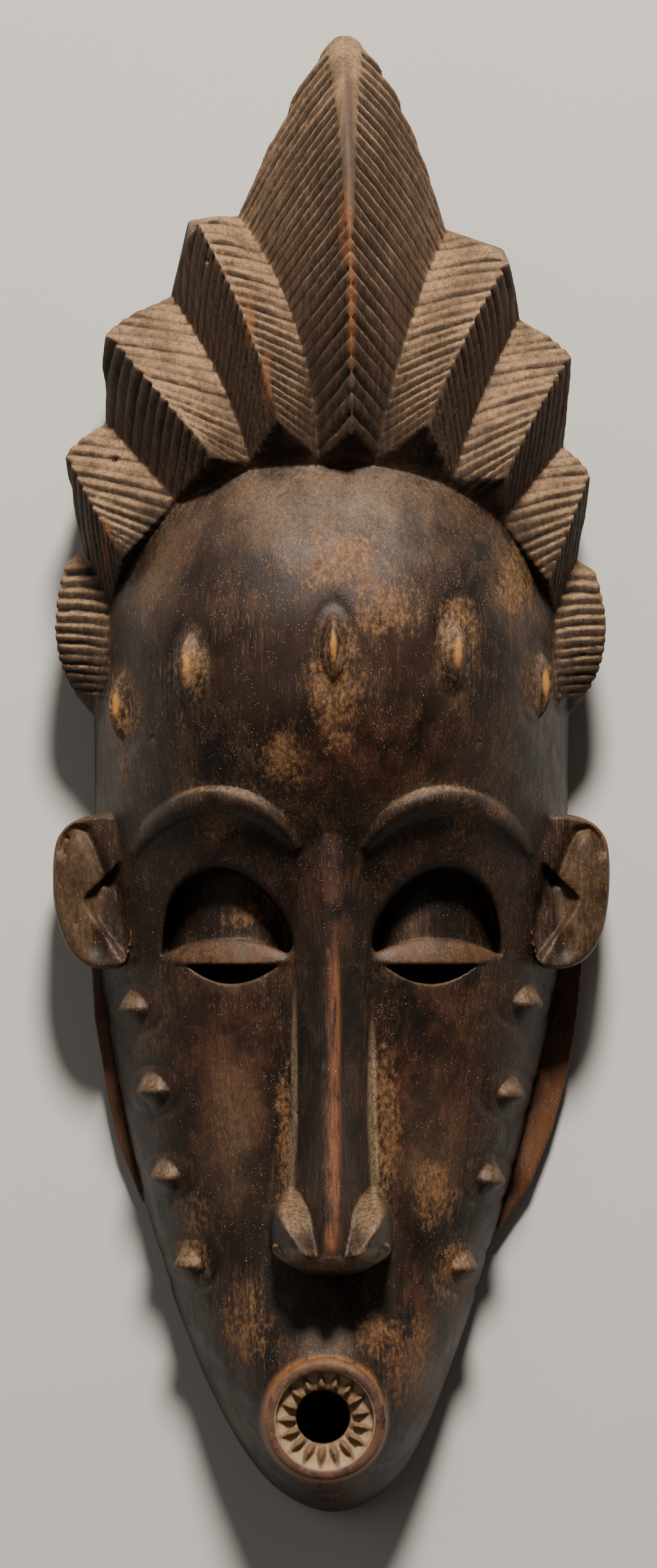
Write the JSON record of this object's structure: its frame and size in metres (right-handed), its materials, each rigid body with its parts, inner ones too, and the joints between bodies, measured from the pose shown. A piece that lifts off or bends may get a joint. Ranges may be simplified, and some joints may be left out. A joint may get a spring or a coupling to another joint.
{
  "type": "face mask",
  "caption": "carved wooden face mask with a herringbone crest, C-shaped ears, narrow eye slits, a long nose and a toothed tubular mouth, hollow behind",
  "frame": {"origin": "middle of the flat back rim's plane, under the middle of the mask's width and height", "axes": "+Y from the chin to the tip of the crest, +Z out of the face, +X to the right of someone who looks at the face"},
  "size_m": [0.151, 0.4, 0.0901],
  "materials": {
    "carved_wood": "dark polished patina, worn to orange brown, dusty in the grooves"
  },
  "bodies": {
    "root": {"mask": "carved_wood"}
  },
  "joints": []
}
